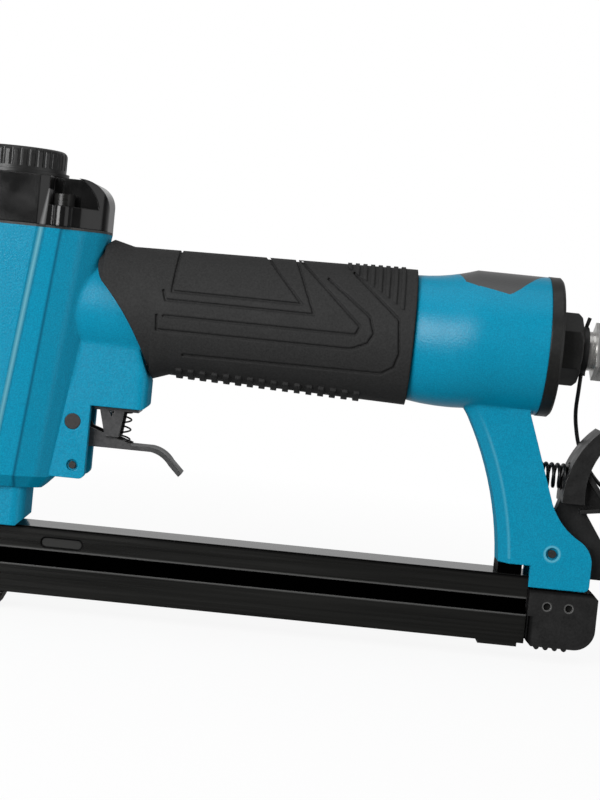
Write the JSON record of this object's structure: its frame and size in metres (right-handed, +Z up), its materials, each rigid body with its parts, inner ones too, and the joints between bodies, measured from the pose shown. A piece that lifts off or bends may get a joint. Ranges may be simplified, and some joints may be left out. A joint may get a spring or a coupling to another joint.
{
  "type": "pneumatic carpet stapler",
  "caption": "Air-driven carpet stapler: cast head and handle with rubber grip, lever trigger, fluted exhaust knob and a bottom magazine that slides out behind a rear latch.",
  "frame": {"origin": "staple exit: the point where the driver axis meets the work face of the nose", "axes": "+Z up along the driver axis, +X back towards the air inlet, +Y away from the pictured side"},
  "size_m": [0.2514, 0.048, 0.1548],
  "materials": {
    "painted_casting": "satin enamel with fine sparkle",
    "gloss_black": "gloss",
    "black_plastic": "satin",
    "grip_rubber": "matt",
    "seal_rubber": "matt",
    "gasket_sheet": "matt",
    "black_steel": "satin black oxide",
    "grey_steel": "phosphated",
    "pin_steel": "dull",
    "bright_steel": "turned",
    "spring_steel": "blackened",
    "aluminium": "turned",
    "cord_black": "satin"
  },
  "bodies": {
    "housing": {"main_housing": "painted_casting", "cylinder_cap": "gloss_black", "cap_gasket": "gasket_sheet", "cap_screws": "black_steel", "deflector_screw": "black_steel", "cylinder_sleeve": "aluminium", "sleeve_o_rings": "seal_rubber", "bumper": "seal_rubber", "head_valve_spring": "spring_steel", "trigger_pin": "pin_steel", "bracket_pin": "pin_steel", "valve_plate": "grey_steel", "valve_body": "aluminium", "valve_o_rings": "seal_rubber", "trigger_spring": "spring_steel", "grip_sleeve": "grip_rubber", "handle_end_cap": "gloss_black", "end_cap_o_ring": "seal_rubber", "inlet_bush": "black_steel", "air_plug": "bright_steel", "tether_loop": "cord_black", "tether_cord": "cord_black", "dust_cap": "seal_rubber", "magazine_rail": "black_steel", "rail_spacer": "black_plastic", "nose_guide": "black_steel", "nose_plate": "black_steel", "nose_screws": "black_steel", "latch_pin": "pin_steel", "latch_spring": "spring_steel"},
    "deflector": {"exhaust_deflector": "black_plastic"},
    "piston": {"piston": "aluminium", "piston_ring": "seal_rubber", "driver_blade": "bright_steel", "driver_pin": "pin_steel"},
    "head_valve": {"head_valve": "aluminium", "head_valve_seal": "seal_rubber"},
    "trigger": {"trigger": "grey_steel"},
    "valve_stem": {"valve_stem": "bright_steel"},
    "latch": {"latch_lever": "black_plastic"},
    "magazine": {"magazine_channel": "black_steel", "staple_core": "grey_steel", "pusher_rod": "bright_steel", "pusher_spring": "spring_steel", "magazine_grip": "black_plastic", "grip_screws": "black_steel"},
    "pusher": {"pusher": "grey_steel"}
  },
  "joints": [
    {"name": "deflector_turn", "type": "hinge", "parent": "housing", "child": "deflector", "pos_m": [0, 0, 0.15], "axis": [0, 0, 1], "continuous": true},
    {"name": "piston_stroke", "type": "slide", "parent": "housing", "child": "piston", "axis": [0, 0, -1], "range_m": [0, 0.03]},
    {"name": "head_valve_lift", "type": "slide", "parent": "housing", "child": "head_valve", "axis": [0, 0, 1], "range_m": [0, 0.003], "stiffness_N_per_m": 800, "springref_m": -0.004, "deforming": ["head_valve_spring"]},
    {"name": "trigger_pull", "type": "hinge", "parent": "housing", "child": "trigger", "pos_m": [0.0275, 0, 0.0655], "axis": [0, -1, 0], "range_deg": [0, 12], "stiffness_Nm_per_rad": 1.5, "springref_deg": -11.46, "deforming": ["trigger_spring"]},
    {"name": "valve_stem_lift", "type": "slide", "parent": "housing", "child": "valve_stem", "axis": [0, 0, 1], "range_m": [0, 0.0026]},
    {"name": "latch_press", "type": "hinge", "parent": "housing", "child": "latch", "pos_m": [0.1918, 0, 0.037], "axis": [0, -1, 0], "range_deg": [0, 7], "stiffness_Nm_per_rad": 2, "springref_deg": -11.46, "deforming": ["latch_spring"]},
    {"name": "magazine_slide", "type": "slide", "parent": "housing", "child": "magazine", "axis": [1, 0, 0], "range_m": [0, 0.105]},
    {"name": "pusher_travel", "type": "slide", "parent": "magazine", "child": "pusher", "axis": [1, 0, 0], "range_m": [0, 0.09], "stiffness_N_per_m": 30, "springref_m": -0.05, "deforming": ["pusher_spring"]}
  ],
  "couplings": [
    {"joint": "valve_stem_lift", "follows": "trigger_pull", "m_per_rad": 0.012}
  ]
}
